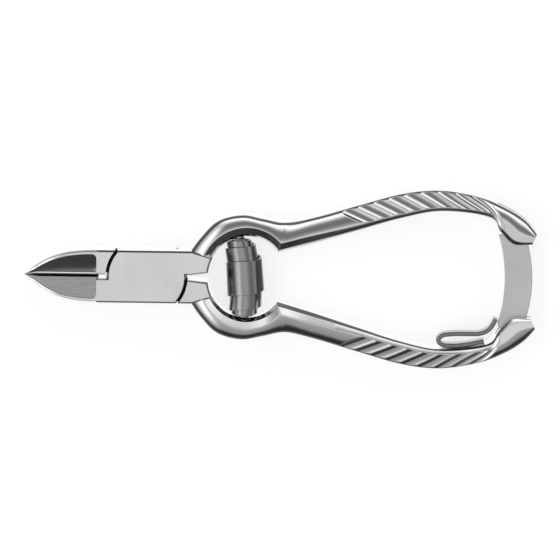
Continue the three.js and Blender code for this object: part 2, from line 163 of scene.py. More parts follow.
# Edges stay sharp where the surface turns by more than this many degrees.
SHARP_OVER = 25
SHARP_IN_JAW = 4
SHARP_IN_GRIP = 62
SHARP_AROUND_FLAT = 2
SHARP_ON_STRIP = 40
SHARP_ON_STRAP = 30

# Least upward part of the normal of a face that counts as flat, or as nearly level.
FLAT, NEARLY_LEVEL = 0.9999, 0.995

# ---------------------------------------------------------------- meshes


def new_object(name, points, faces):
    """An object with a mesh of its own, from points in millimetres."""
    mesh = bpy.data.meshes.new(name)
    mesh.from_pydata((np.asarray(points, float) / MM).tolist(), [], faces)
    mesh.update()
    obj = bpy.data.objects.new(name, mesh)
    bpy.context.scene.collection.objects.link(obj)
    return obj


def loft(name, rings):
    """A tube of quads through rings with equal point counts, with flat ends."""
    rings = np.asarray(rings, float)
    count, around = rings.shape[:2]
    faces = []
    for ring in range(count - 1):
        base = ring * around
        for i in range(around):
            after = (i + 1) % around
            faces.append((base + i, base + after, base + around + after, base + around + i))
    faces.append(tuple(reversed(range(around))))
    last = (count - 1) * around
    faces.append(tuple(range(last, last + around)))
    obj = new_object(name, rings.reshape(-1, 3), faces)
    face_outwards(obj)
    return obj


def face_outwards(obj):
    """Turns the faces round if the solid is inside out."""
    mesh = obj.data
    mesh.calc_loop_triangles()
    corners = np.array([t.vertices[:] for t in mesh.loop_triangles])
    points = np.array([v.co[:] for v in mesh.vertices])
    a, b, c = points[corners[:, 0]], points[corners[:, 1]], points[corners[:, 2]]
    if np.einsum("ij,ij->i", a, np.cross(b, c)).sum() < 0:
        mesh.flip_normals()


def arc(centre, radius, start, end, steps):
    """Points on an arc. radius is a number, or one for each axis. Angles are in radians."""
    angles = np.linspace(start, end, steps + 1)
    radii = np.broadcast_to(np.asarray(radius, float), 2)
    across = centre[0] + radii[0] * np.cos(angles)
    up = centre[1] + radii[1] * np.sin(angles)
    return np.column_stack([across, up])


def inset(outline, distance):
    """The outline moved inwards by distance, mitred at its corners. It runs anticlockwise."""
    before = outline - np.roll(outline, 1, axis=0)
    after = np.roll(outline, -1, axis=0) - outline
    before /= np.linalg.norm(before, axis=1, keepdims=True)
    after /= np.linalg.norm(after, axis=1, keepdims=True)
    normal_before = np.column_stack([-before[:, 1], before[:, 0]])
    normal_after = np.column_stack([-after[:, 1], after[:, 0]])
    bisector = normal_before + normal_after
    squared = np.maximum(np.einsum("ij,ij->i", bisector, bisector), 0.6)  # keeps sharp corners short
    scale = 2 * distance / squared
    return outline + bisector * scale[:, None]


def anticlockwise(outline):
    """The outline, turned round if it runs clockwise."""
    x, y = outline[:, 0], outline[:, 1]
    area = np.dot(x, np.roll(y, -1)) - np.dot(y, np.roll(x, -1))
    return outline if area > 0 else outline[::-1]


def rounded_plate(name, outline, low, high, radius, steps=4):
    """A flat plate whose upper and lower edges are rounded."""
    outline = anticlockwise(np.asarray(outline, float))
    rings = []
    for angle in np.linspace(-math.pi / 2, 0, steps + 1):
        loop = inset(outline, radius * (1 - math.cos(angle)))
        rings.append((loop, low + radius * (1 + math.sin(angle))))
    for angle in np.linspace(0, math.pi / 2, steps + 1):
        loop = inset(outline, radius * (1 - math.cos(angle)))
        rings.append((loop, high - radius * (1 - math.sin(angle))))
    return loft(name, [np.column_stack([loop, np.full(len(loop), z)]) for loop, z in rings])


def thin_out(outline, least=0.02):
    """Drops points that lie closer than least to the one before them."""
    kept = [outline[0]]
    for point in outline[1:]:
        if np.linalg.norm(point - kept[-1]) > least:
            kept.append(point)
    if np.linalg.norm(kept[0] - kept[-1]) <= least:
        kept.pop()
    return np.array(kept)


def boolean(obj, other, operation):
    """Joins or cuts obj with other, and removes other."""
    modifier = obj.modifiers.new(operation, "BOOLEAN")
    modifier.operation = operation
    modifier.solver = "MANIFOLD"
    modifier.object = other
    bake(obj)
    bpy.data.objects.remove(other)


def bake(obj):
    """Applies every modifier."""
    graph = bpy.context.evaluated_depsgraph_get()
    mesh = bpy.data.meshes.new_from_object(obj.evaluated_get(graph), depsgraph=graph)
    obj.modifiers.clear()
    old = obj.data
    obj.data = mesh
    bpy.data.meshes.remove(old)


def cylinder(name, radius, low, high, sides=256):
    """A cylinder about the joint's axis."""
    outline = arc((0, 0), radius, 0, 2 * math.pi, sides)[:-1]
    return loft(name, [np.column_stack([outline, np.full(sides, z)]) for z in (low, high)])


def block(name, low, high):
    """A box between two opposite corners."""
    outline = np.array([(low[0], low[1]), (high[0], low[1]), (high[0], high[1]), (low[0], high[1])])
    return loft(name, [np.column_stack([outline, np.full(4, z)]) for z in (low[2], high[2])])


def smooth_shading(obj, sharp_over, limit_at=None):
    """Smooth faces, with edges sharp where the surface turns by more than sharp_over degrees.

    limit_at gives another limit for an edge from the place of its first point, in millimetres.
    """
    split = obj.modifiers.new("split_large_faces", "TRIANGULATE")
    split.min_vertices = 5
    bake(obj)
    mesh = obj.data
    mesh.shade_smooth()
    normals = np.array([p.normal[:] for p in mesh.polygons])
    flat = np.abs(normals[:, 2]) > FLAT
    faces_of = [[] for _ in mesh.edges]
    for polygon in mesh.polygons:
        for loop in polygon.loop_indices:
            faces_of[mesh.loops[loop].edge_index].append(polygon.index)
    points = np.array([v.co[:] for v in mesh.vertices]) * MM
    sharp = np.zeros(len(mesh.edges), bool)
    for edge, faces in zip(mesh.edges, faces_of):
        if len(faces) != 2:
            sharp[edge.index] = True
            continue
        cosine = float(np.clip(normals[faces[0]] @ normals[faces[1]], -1, 1))
        limit = sharp_over
        if flat[faces[0]] != flat[faces[1]]:
            limit = SHARP_AROUND_FLAT
        elif limit_at is not None:
            limit = limit_at(points[edge.vertices[0]], sharp_over)
        sharp[edge.index] = math.degrees(math.acos(cosine)) > limit
    attribute = mesh.attributes.get("sharp_edge")
    if attribute is None:
        attribute = mesh.attributes.new("sharp_edge", "BOOLEAN", "EDGE")
    attribute.data.foreach_set("value", sharp)
    weighted = obj.modifiers.new("weighted_normals", "WEIGHTED_NORMAL")
    weighted.keep_sharp = True
    weighted.weight = 50
    bake(obj)


# ---------------------------------------------------------------- lever: handle


def catmull_rom(points, share):
    """Point on the uniform Catmull-Rom curve through points, at a share of the way along it."""
    points = np.asarray(points, float)
    place = share * (len(points) - 1)
    i = min(int(place), len(points) - 2)
    t = place - i
    p0 = points[max(i - 1, 0)]
    p1, p2 = points[i], points[i + 1]
    p3 = points[min(i + 2, len(points) - 1)]
    v0, v1 = (p2 - p0) / 2, (p3 - p1) / 2
    return (2 * p1 - 2 * p2 + v0 + v1) * t**3 + (-3 * p1 + 3 * p2 - 2 * v0 - v1) * t**2 + v0 * t + p1


def by_station(table, station):
    """The table's value at a station, on straight lines between its rows."""
    return float(np.interp(station, [row[0] for row in table], [row[1] for row in table]))


def eased(table, station, reach=0.6):
    """Like by_station, with the table's corners rounded off."""
    spread = np.linspace(-reach, reach, 7)
    return float(np.mean([by_station(table, station + step) for step in spread]))


def outer_at(station):
    """Point of the handle's outer line."""
    return catmull_rom(OUTER_LINE, station / LAST_STATION)


def inner_at(station):
    """Point of the handle's inner line: the bow's ellipse up to the corner, and then INNER_LINE."""
    if station > CORNER_STATION:
        return catmull_rom(INNER_LINE, (station - CORNER_STATION) / (LAST_STATION - CORNER_STATION))
    corner_angle = math.pi - math.acos((CORNER_X - BOW_X) / BOW_LENGTH)
    angle = ROOT_ANGLE + (corner_angle - ROOT_ANGLE) * station / CORNER_STATION
    return np.array([BOW_X - BOW_LENGTH * math.cos(angle), BOW_HEIGHT * math.sin(angle)])


def fillet(before, corner, after, radius, steps=3):
    """Points of a small arc in place of a corner."""
    before, corner, after = (np.asarray(p, float) for p in (before, corner, after))
    into = (corner - before) / np.linalg.norm(corner - before)
    out = (after - corner) / np.linalg.norm(after - corner)
    start, end = corner - into * radius, corner + out * radius
    shares = np.linspace(0, 1, steps + 1)[:, None]
    return (1 - shares) ** 2 * start + 2 * shares * (1 - shares) * corner + shares**2 * end


def half_section(station, along):
    """The front half of the section: (across, height) from the ridge to the outermost line."""
    width = np.linalg.norm(outer_at(station) - inner_at(station))
    half = HANDLE_HALF * eased(HALF_DEPTH, station)
    facets = min(eased(FACETS, station), FACETS_AT_MOST * width)
    rounding = CROWN_SHARE * (width - facets)
    bevel_drop = by_station(BEVEL_SLOPE, station) * (1 - RIDGE_SHARE) * facets
    draft = (RIDGE_SHARE * facets, half - bevel_drop)
    ridge = (0.0, draft[1] - by_station(RIDGE_SLOPE, station) * draft[0])
    bevel = (facets, half)
    top = np.array([width - rounding, half])

    crown_run = rounding - CORNER_RADIUS * (1 - math.sin(CROWN_END))
    crown_radius = crown_run / (math.sin(CROWN_END) - math.sin(CROWN_START))
    crown_centre = top - crown_radius * np.array([math.sin(CROWN_START), math.cos(CROWN_START)])
    crown_from, crown_to = math.pi / 2 - CROWN_START, math.pi / 2 - CROWN_END
    crown = arc(crown_centre, crown_radius, crown_from, crown_to, CROWN_STEPS)
    corner_centre = crown[-1] - CORNER_RADIUS * np.array([math.sin(CROWN_END), math.cos(CROWN_END)])
    corner = arc(corner_centre, CORNER_RADIUS, crown_to, 0, CORNER_STEPS)[1:]
    side = np.vstack([crown, corner, [(width, 0.5 * corner[-1][1]), (width, 0)]])
    side = scooped(side, along, crown_centre, crown_radius)

    inner_edges = [
        [(0.0, 0.0)],
        fillet((0, 0), ridge, draft, RIDGE_ROUNDING),
        fillet(ridge, draft, bevel, BEVEL_ROUNDING),
        fillet(draft, bevel, top, BEVEL_ROUNDING),
    ]
    return np.vstack([*inner_edges, side])


def scooped(side, along, crown_centre, crown_radius):
    """The rounded side, pushed in where the grip's scoops cut it."""
    outward = np.array([math.sin(SCOOP_TILT), math.cos(SCOOP_TILT)])
    middle = crown_centre + crown_radius * outward
    upward = np.array([-outward[1], outward[0]])
    rise, up = (side - middle) @ outward, (side - middle) @ upward
    depth = np.zeros(len(side))
    for start in SCOOP_PLACES:
        off_axis = (along - start) * math.sin(GRIP_LEAN) - up * math.cos(GRIP_LEAN)
        inside = np.clip(GRIP_RADIUS**2 - off_axis**2, 0, None)
        floor = GRIP_RADIUS - GRIP_DEPTH - np.sqrt(inside)
        depth = np.maximum(depth, np.where(inside > 0, rise - floor, 0))
    return side - depth[:, None] * outward


def measure_outer_line():
    """Stations along the outer line, the X of each and the distance run there."""
    stations = np.linspace(0, LAST_STATION, 4001)
    line = np.array([outer_at(station) for station in stations])
    steps = np.linalg.norm(np.diff(line, axis=0), axis=1)
    return stations, line[:, 0], np.concatenate([[0], np.cumsum(steps)])


STATIONS, OUTER_X, RUN = measure_outer_line()
SCOOP_X = [GRIP_START + i * GRIP_PITCH for i in range(GRIP_COUNT)]
SCOOP_PLACES = [float(np.interp(x, OUTER_X, RUN)) for x in SCOOP_X]


def measure_bevel_line():
    """Points along the edge between the facets and the crown, seen from the front."""
    line = []
    for station in np.linspace(CORNER_STATION, LAST_STATION, 400):
        inner, outer = inner_at(station), outer_at(station)
        width = np.linalg.norm(outer - inner)
        share = min(eased(FACETS, station) / width, FACETS_AT_MOST)
        line.append(inner + (outer - inner) * share)
    return np.array(line)


BEVEL_LINE = measure_bevel_line()


def ring_places():
    """Distances along the outer line at which the handle gets a ring."""
    places = [0.0]
    grip = (SCOOP_PLACES[0] - FINE_BEYOND, SCOOP_PLACES[-1] + FINE_BEYOND)
    while places[-1] < RUN[-1]:
        step = FINE_STEP if grip[0] < places[-1] < grip[1] else COARSE_STEP
        places.append(min(places[-1] + step, RUN[-1]))
    return places


def handle():
    """The upper handle, from the joint to its end, as one loft."""
    rings = []
    for along in ring_places():
        station = float(np.interp(along, RUN, STATIONS))
        inner, outer = inner_at(station), outer_at(station)
        outwards = (outer - inner) / np.linalg.norm(outer - inner)
        front = half_section(station, along)
        back = front[-2:0:-1] * (1, -1)
        section = np.vstack([front, back])
        flat = inner + section[:, :1] * outwards
        rings.append(np.column_stack([flat, MID + section[:, 1]]))
    return loft("handle", rings)


# ---------------------------------------------------------------- lever: jaw and joint


def jaw_ring(x):
    """The lower jaw's section at x: edge, back bevel, back, flank, rim, wall, hollow and cleft."""
    taper = max(0.0, (JAW_TAPER_X - x) / (JAW_TAPER_X - TIP_X))
    half = max(TIP_HALF, JOINT_HALF * (1 - taper**3))
    size = min(1.0, half / SHRINK_BELOW)
    rim = half - min(RIM, RIM_AT_MOST * half)
    front = HOLLOW_FLOOR + HOLLOW_SLOPE * rim
    back = BACK_RISE * taper**2
    cleft = CLEFT_HALF * size
    floor = HOLLOW_FLOOR + HOLLOW_SLOPE * cleft
    to_wall = max(0.0, SHOULDER_X - x)
    if to_wall < HOLLOW_CORNER:
        rim -= HOLLOW_CORNER - math.sqrt(HOLLOW_CORNER**2 - (HOLLOW_CORNER - to_wall) ** 2)
    wall = WALL_RUN * size
    wall_foot = HOLLOW_FLOOR + HOLLOW_SLOPE * (rim - wall) - WALL_SINK
    flank = FLANK * size
    corners = [
        (-EDGE_PLAY, EDGE_HEIGHT),
        (-BACK_BEVEL * size, back),
        (-half + BACK_CORNER * size, back),
        (-half, back + flank),
        (-half, front - flank),
        (-half + FRONT_CORNER * size, front),
        (-rim, front),
        (-rim + wall, wall_foot),
        (-cleft, floor - WALL_SINK),
    ]
    radii = [0.02, 0.2, 0.2, 0.4, 0.4, 0.16, 0.02, 0.02, 0.1]  # one for each corner
    points = []
    for i, (corner, radius) in enumerate(zip(corners, radii)):
        after = corners[(i + 1) % len(corners)]
        points += list(fillet(corners[i - 1], corner, after, radius * size, 4))
    return np.array([(x, y, z) for y, z in points])


def jaw(side):
    """A lower jaw. side is 1 where the hollow faces the lever's own front, -1 where it faces away."""
    overlap = 0.5  # into the plate
    shares = np.linspace(0, 1, JAW_STEPS + 1) ** 1.25  # closer together at the tip
    places = TIP_X + (SHOULDER_X + overlap - TIP_X) * shares
    rings = np.array([jaw_ring(x) for x in places])
    if side < 0:
        rings[:, :, 2] = JOINT_DEPTH - rings[:, :, 2]
    return loft("jaw", rings)


def joint_outline():
    """The plate at the joint: notched shoulder, lap, and the root of the handle on the bow."""
    lap_end = math.asin(JOINT_HALF / LAP_RADIUS)
    on_bow = [math.pi - math.asin(y / BOW_HEIGHT) for y in (ROOT_TOP, ROOT_FOOT)]
    pieces = [
        [(SHOULDER_X, -NOTCH)],
        arc((0, 0), LAP_RADIUS, math.pi + NOTCH / LAP_RADIUS, math.pi - lap_end, 30),
        [(ROOT_X, JOINT_HALF)],
        arc((BOW_X, 0), (BOW_LENGTH, BOW_HEIGHT), on_bow[0], on_bow[1], 8),
        arc((0, 0), LAP_RADIUS, LAP_START, -lap_end, 30),
        [(SHOULDER_X, -JOINT_HALF)],
    ]
    return thin_out(np.vstack(pieces))


def shoulder_wall():
    """Fills the plate's chamfers behind the jaw, so that the hollow ends at an upright wall."""
    low = (SHOULDER_X, PLATE_CHAMFER - JOINT_HALF, 0)
    high = (SHOULDER_X + 1.5 * PLATE_CHAMFER, -NOTCH - PLATE_CHAMFER, JOINT_DEPTH)
    return block("shoulder_wall", low, high)


def lever(name, side):
    """One lever in the front lever's frame: lower jaw, plate in the front half, upper handle."""
    body = rounded_plate(name, joint_outline(), 0, JOINT_DEPTH, PLATE_CHAMFER, 1)
    boolean(body, shoulder_wall(), "UNION")
    boolean(body, jaw(side), "UNION")
    boolean(body, handle(), "UNION")
    boolean(body, cylinder("lap", LAP_RADIUS + LAP_GAP, -1, MID + LAP_PLAY), "DIFFERENCE")
    boolean(body, strap_slot(), "DIFFERENCE")
    smooth_shading(body, SHARP_OVER, sharp_limit)
    return body


def strap_slot():
    """What the slot for the strap takes out of the handle's end."""
    half = (STRAP_HIGH[2] - STRAP_LOW[2]) / 2 + STRAP_PLAY
    beyond = (END_X + 5, LEVER_HIGH[1] + 5)
    return block("slot", (SLOT_X, 0, MID - half), (*beyond, MID + half))


def sharp_limit(point, limit):
    """The limit for sharp edges at a place on a lever.

    It is high on the grip's crown, where the scoops meet in edges that cross the mesh, and low on
    the jaws.
    """
    if point[0] < SHOULDER_X:
        return SHARP_IN_JAW
    bevel_y = np.interp(point[0], BEVEL_LINE[:, 0], BEVEL_LINE[:, 1])
    on_crown = abs(point[1]) > bevel_y + CREASE_MARGIN
    return SHARP_IN_GRIP if on_crown and CREASES_FROM < point[0] < CREASES_TO else limit


def turn_over(obj):
    """Half a turn about the long axis, from the front lever's place to the back lever's."""
    mesh = obj.data
    for vertex in mesh.vertices:
        x, y, z = vertex.co
        vertex.co = (x, -y, JOINT_DEPTH / MM - z)


# ---------------------------------------------------------------- spring

# The strip is wound in two cones that narrow outwards, and gets narrower itself with every turn. Its
# axis bulges away from the joint and leans.
SPRING_X, SPRING_BULGE, SPRING_LEAN, SPRING_HALF = 25.9, 1.2, 0.07, 10.3
SPRING_TURNS, SPRING_THICKNESS, SPRING_RADIUS, SPRING_TAPER = 3.3, 0.6, 5.3, 0.9
SPRING_WIDTH, SPRING_NARROWING, SPRING_FLARE, SPRING_SKEW = 9.4, 1.5, 0.1, 0.5
SPRING_CLIMB, SPRING_PLAY = 9.3, 0.3
SPRING_ROUNDING = 0.14
STEPS_PER_TURN = 90


def strip_section(low, high, radius):
    """The strip's rounded section: (distance from the axis, height) from low to high."""
    inner = radius - SPRING_THICKNESS
    corners = [(radius, low), (radius, high), (inner, high), (inner, low)]
    return rounded_section(corners, SPRING_ROUNDING, 3)


def rounded_section(corners, radius, steps):
    """The points of a section with four corners, each rounded."""
    section = []
    for i, corner in enumerate(corners):
        section += list(fillet(corners[i - 1], corner, corners[(i + 1) % 4], radius, steps))
    return section


def barrel_spring():
    """The strip, trimmed where its ends would run into the bow."""
    rings = []
    for turn in np.linspace(-SPRING_TURNS, SPRING_TURNS, int(2 * SPRING_TURNS * STEPS_PER_TURN)):
        away = abs(turn)
        centre = math.copysign(SPRING_CLIMB * away**1.5 / (away**1.5 + 1), turn)
        skew = SPRING_SKEW * np.clip(turn * 2, -1, 1)
        width = SPRING_WIDTH - SPRING_NARROWING * away + SPRING_FLARE * away**2 - skew
        radius = SPRING_RADIUS - SPRING_TAPER * away
        angle = 2 * math.pi * turn
        ring = []
        for r, y in strip_section(centre - width / 2, centre + width / 2, radius):
            axis = SPRING_X + SPRING_BULGE * (1 - (y / SPRING_HALF) ** 2) - SPRING_LEAN * y
            x = axis + r * math.sin(angle)
            reach = BOW_HEIGHT * math.sqrt(1 - ((x - BOW_X) / BOW_LENGTH) ** 2) - SPRING_PLAY
            ring.append((x, min(max(y, -reach), reach), MID + r * math.cos(angle)))
        rings.append(ring)
    obj = loft("barrel_strip", rings)
    smooth_shading(obj, SHARP_ON_STRIP)
    return obj


# ---------------------------------------------------------------- latch


# The strap lies between two arcs about centres on the tool's long axis. It ends in a heel around its
# pivot and in a finger, with a round seat beside the catch pin.
STRAP_OUTER = (67.6, 38.0)  # centre's X and radius
STRAP_INNER = (56.1, 42.0)
HEEL_RADIUS = 3.55
HEEL_TOP = LATCH_PIVOT[1] + 2.2
SEAT_RADIUS = CATCH_RADIUS + 0.3
SEAT_FOOT = CATCH[1] - SEAT_RADIUS
FINGER_END = CATCH[1] + 2.6
FINGER_CORNER = (0.5, 0.6)  # taken off the finger's outer corner
FINGER_SLOPE = 0.3  # fall of the finger's end towards the middle
STRAP_EDGE = 0.15


def strap_side(side, low, high):
    """Points on one of the strap's two arcs, from one height to another."""
    centre_x, radius = side
    return arc((centre_x, 0), radius, math.asin(low / radius), math.asin(high / radius), 60)


def strap_point(side, y):
    """The point at height y on one of the strap's two arcs."""
    centre_x, radius = side
    return centre_x + radius * math.cos(math.asin(y / radius)), y


def latch_strap():
    """The strap, from its finger round the seat and the heel, as a plate with rounded edges."""
    finger_x, finger_y = strap_point(STRAP_OUTER, FINGER_END)
    outline = np.vstack([
        strap_side(STRAP_OUTER, HEEL_TOP, FINGER_END - FINGER_CORNER[1]),
        [(finger_x - FINGER_CORNER[0], finger_y)],
        [(CATCH[0] + SEAT_RADIUS, FINGER_END - FINGER_SLOPE)],
        arc(CATCH, SEAT_RADIUS, 0, -math.pi / 2, 16),
        [strap_point(STRAP_INNER, SEAT_FOOT)],
        strap_side(STRAP_INNER, SEAT_FOOT - 0.3, HEEL_TOP),
        arc(LATCH_PIVOT, HEEL_RADIUS, math.pi, 2 * math.pi, 40),
    ])
    obj = rounded_plate("latch_blade", thin_out(outline), STRAP_LOW[2], STRAP_HIGH[2], STRAP_EDGE)
    smooth_shading(obj, SHARP_ON_STRAP)
    return obj


HAIRPIN_THICKNESS, HAIRPIN_ROUNDING = 1.2, 0.45
HAIRPIN_LINE = [
    (92.6, -16.9), (88, -17.85), (83.6, -18.25), (81, -17.9), (80.1, -16.7), (81.1, -15.5),
    (84, -15), (88, -14.9), (91.4, -14.8), (93.6, -13.9), (94.9, -12.4), (95.8, -10.6),
]


def between(before, after, start, end, place):
    """The point at a place on the line that is at before at start and at after at end."""
    return ((end - place) * before + (place - start) * after) / (end - start)


def centripetal(points, steps):
    """Points spread along the centripetal Catmull-Rom curve through points."""
    points = np.asarray(points, float)
    points = np.vstack([2 * points[0] - points[1], points, 2 * points[-1] - points[-2]])
    line = []
    for share in np.linspace(0, 1, steps + 1):
        place = share * (len(points) - 3)
        i = min(int(place), len(points) - 4)
        corners = points[i:i + 4]
        gaps = np.sqrt(np.linalg.norm(np.diff(corners, axis=0), axis=1))
        knots = np.concatenate([[0], np.cumsum(gaps)])
        t = knots[1] + (place - i) * (knots[2] - knots[1])
        first = [between(corners[j], corners[j + 1], knots[j], knots[j + 1], t) for j in range(3)]
        second = [between(first[j], first[j + 1], knots[j], knots[j + 2], t) for j in range(2)]
        line.append(between(second[0], second[1], knots[1], knots[2], t))
    return np.array(line)


def latch_hairpin():
    """The bent strip between the handles."""
    line = centripetal(HAIRPIN_LINE, 160)
    along = np.gradient(line, axis=0)
    along /= np.linalg.norm(along, axis=1, keepdims=True)
    across = np.column_stack([-along[:, 1], along[:, 0]])
    thick, wide = HAIRPIN_THICKNESS / 2, (HAIRPIN_HIGH[2] - HAIRPIN_LOW[2]) / 2
    corners = [(-thick, -wide), (thick, -wide), (thick, wide), (-thick, wide)]
    section = rounded_section(corners, HAIRPIN_ROUNDING, 5)
    rings = []
    for point, side in zip(line, across):
        rings.append([(point[0] + u * side[0], point[1] + u * side[1], MID + z) for u, z in section])
    obj = loft("latch_hairpin", rings)
    smooth_shading(obj, SHARP_ON_STRIP)
    return obj


# ---------------------------------------------------------------- materials


def add_node(nodes, kind, **values):
    """A new shader node. values sets its inputs, with underscores for the spaces in their names."""
    node = nodes.new("ShaderNode" + kind)
    for name, value in values.items():
        node.inputs[name.replace("_", " ")].default_value = value
    return node


def add_colour_mix(nodes, **colours):
    """A new node that mixes the colours A and B. The ones given here are fixed."""
    mix = nodes.new("ShaderNodeMix")
    mix.data_type = "RGBA"
    for name, colour in colours.items():
        mix.inputs[name].default_value = (*colour, 1)
    return mix


def new_material(name):
    """A material with its nodes, its links and its Principled shader."""
    material = bpy.data.materials.new(name)
    material.use_nodes = True
    tree = material.node_tree
    return material, tree.nodes, tree.links, tree.nodes["Principled BSDF"]


def steel(name, colour, roughness, grain, grain_depth, grain_size, variation=0.03):
    """Steel with a fine grain. grain stretches the grain along each axis: small numbers are long."""
    material, nodes, links, shader = new_material(name)
    shader.inputs["Metallic"].default_value = 1.0
    place = add_node(nodes, "TexCoord")
    stretch = add_node(nodes, "Mapping", Scale=grain)
    links.new(place.outputs["Object"], stretch.inputs["Vector"])
    fine = add_node(nodes, "TexNoise", Scale=grain_size, Detail=6)
    links.new(stretch.outputs["Vector"], fine.inputs["Vector"])
    smudges = add_node(nodes, "TexNoise", Scale=90, Detail=3)
    links.new(place.outputs["Object"], smudges.inputs["Vector"])

    darker = [c * (1 - variation) for c in colour]
    lighter = [min(1, c * (1 + variation)) for c in colour]
    tint = add_colour_mix(nodes, A=darker, B=lighter)
    links.new(fine.outputs["Fac"], tint.inputs["Factor"])
    links.new(tint.outputs["Result"], shader.inputs["Base Color"])
    rough = add_node(nodes, "MapRange", From_Min=0.3, From_Max=0.7,
                     To_Min=roughness * 0.8, To_Max=roughness * 1.25)
    links.new(smudges.outputs["Fac"], rough.inputs["Value"])
    links.new(rough.outputs["Result"], shader.inputs["Roughness"])
    bump = add_node(nodes, "Bump", Strength=grain_depth, Distance=0.00002)
    links.new(fine.outputs["Fac"], bump.inputs["Height"])
    links.new(bump.outputs["Normal"], shader.inputs["Normal"])
    return material


def paint_crevice_shade(material, start, end):
    """Paints shade into a steel: darker outwards from a distance around the joint's axis, in
    millimetres, as the shade in the crevice around the lap.
    """
    nodes, links = material.node_tree.nodes, material.node_tree.links
    shader = nodes["Principled BSDF"]
    unshaded = shader.inputs["Base Color"].links[0].from_socket
    place = add_node(nodes, "TexCoord")
    flatten = nodes.new("ShaderNodeVectorMath")
    flatten.operation = "MULTIPLY"
    flatten.inputs[1].default_value = (1, 1, 0)
    links.new(place.outputs["Object"], flatten.inputs[0])
    distance = nodes.new("ShaderNodeVectorMath")
    distance.operation = "LENGTH"
    links.new(flatten.outputs["Vector"], distance.inputs[0])
    ring = add_node(nodes, "MapRange", From_Min=start / MM, From_Max=end / MM)
    links.new(distance.outputs["Value"], ring.inputs["Value"])
    # Near black: painted shade in the crevice around the lap.
    painted_shade = add_colour_mix(nodes, B=(0.02, 0.02, 0.02))
    links.new(ring.outputs["Result"], painted_shade.inputs["Factor"])
    links.new(unshaded, painted_shade.inputs["A"])
    links.new(painted_shade.outputs["Result"], shader.inputs["Base Color"])


def dress(obj, *materials):
    obj.data.materials.clear()
    for material in materials:
        obj.data.materials.append(material)


PLATE_SLOT, LAP_SHADE_SLOT, HOLLOW_SLOT = 1, 2, 3  # a forging's materials after the first


def grind_joint(obj):
    """Gives the plate's flat faces, the lap's walls and floor, and the hollow their materials."""
    plate_end = BOW_X - 0.7 * BOW_LENGTH
    wall_radius = LAP_RADIUS + LAP_GAP
    for polygon in obj.data.polygons:
        x, y, z = polygon.center * MM
        normal_x, normal_y, normal_z = polygon.normal
        from_axis = math.hypot(x, y)
        level = abs(normal_z) > NEARLY_LEVEL
        hollow = abs(abs(normal_y) - HOLLOW_SINE) < 0.05 and abs(normal_x) < 0.05
        if level and x < plate_end:
            polygon.material_index = PLATE_SLOT
        if hollow and x < SHOULDER_X:
            polygon.material_index = HOLLOW_SLOT
        # The lap's walls and floor get the steel with painted shade in the crevice.
        if not level and LAP_RADIUS - 0.1 < from_axis < wall_radius + 0.01:
            polygon.material_index = LAP_SHADE_SLOT
        if level and abs(z - MID) < 0.1 and from_axis < wall_radius:
            polygon.material_index = LAP_SHADE_SLOT


# ---------------------------------------------------------------- assembly

# Name, colour, roughness, then the grain's stretch, depth and fineness, and how much it tints.
polished = steel("polished_steel", (0.80, 0.80, 0.80), 0.12, (1, 0.25, 1), 0.25, 6000)
satin = steel("satin_steel", (0.72, 0.72, 0.72), 0.24, (1, 1, 1), 0.5, 5000)
ground = steel("ground_steel", (0.84, 0.84, 0.84), 0.3, (1, 0.05, 1), 0.9, 5000, 0.08)
strap_steel = steel("strap_steel", (0.66, 0.66, 0.67), 0.3, (1, 0.2, 1), 0.8, 3500, 0.12)
hairpin_steel = steel("hairpin_steel", (0.24, 0.24, 0.25), 0.2, (1, 0.15, 1), 0.6, 4000, 0.12)
lap_shaded_steel = steel("lap_shaded_steel", (0.7, 0.7, 0.7), 0.35, (1, 1, 1), 0.4, 5000)
hollow_steel = steel("hollow_steel", (0.5, 0.5, 0.5), 0.16, (0.12, 1, 1), 0.5, 2500, 0.16)
# Painted shade in the crevice at the lap's edge.
paint_crevice_shade(lap_shaded_steel, LAP_RADIUS - 0.5, LAP_RADIUS - 0.1)
spring_steel = steel("spring_steel", (0.36, 0.36, 0.37), 0.2, (1, 0.15, 1), 0.6, 4000, 0.12)

front = lever("front_forging", 1)
back = lever("back_forging", -1)
turn_over(back)
spring = barrel_spring()
strap = latch_strap()
hairpin = latch_hairpin()

for piece, material, body, node, slot in [
    (front, polished, "front", "front_lever", "polished_steel"),
    (back, polished, "back", "back_lever", "polished_steel"),
    (strap, strap_steel, "latch", "latch_strap", "satin_steel"),
    (hairpin, hairpin_steel, "back", "latch_spring", "spring_steel"),
]:
    dress(piece, material)
    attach(piece, body)
    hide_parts(node)

for forging in (front, back):
    dress(forging, polished, ground, lap_shaded_steel, hollow_steel)
    grind_joint(forging)

dress(spring, spring_steel)
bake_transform(spring)
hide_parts("barrel_spring")

for node in ("upper_spring_peg", "lower_spring_peg"):
    dress(frame["nodes"][node], spring_steel)
for node in ("joint_rivet", "latch_pin", "catch_pin"):
    dress(frame["nodes"][node], satin)

# ---------------------------------------------------------------- floor, light and camera


FLOOR_REACH, FLOOR_GAP = 4000, 0.05


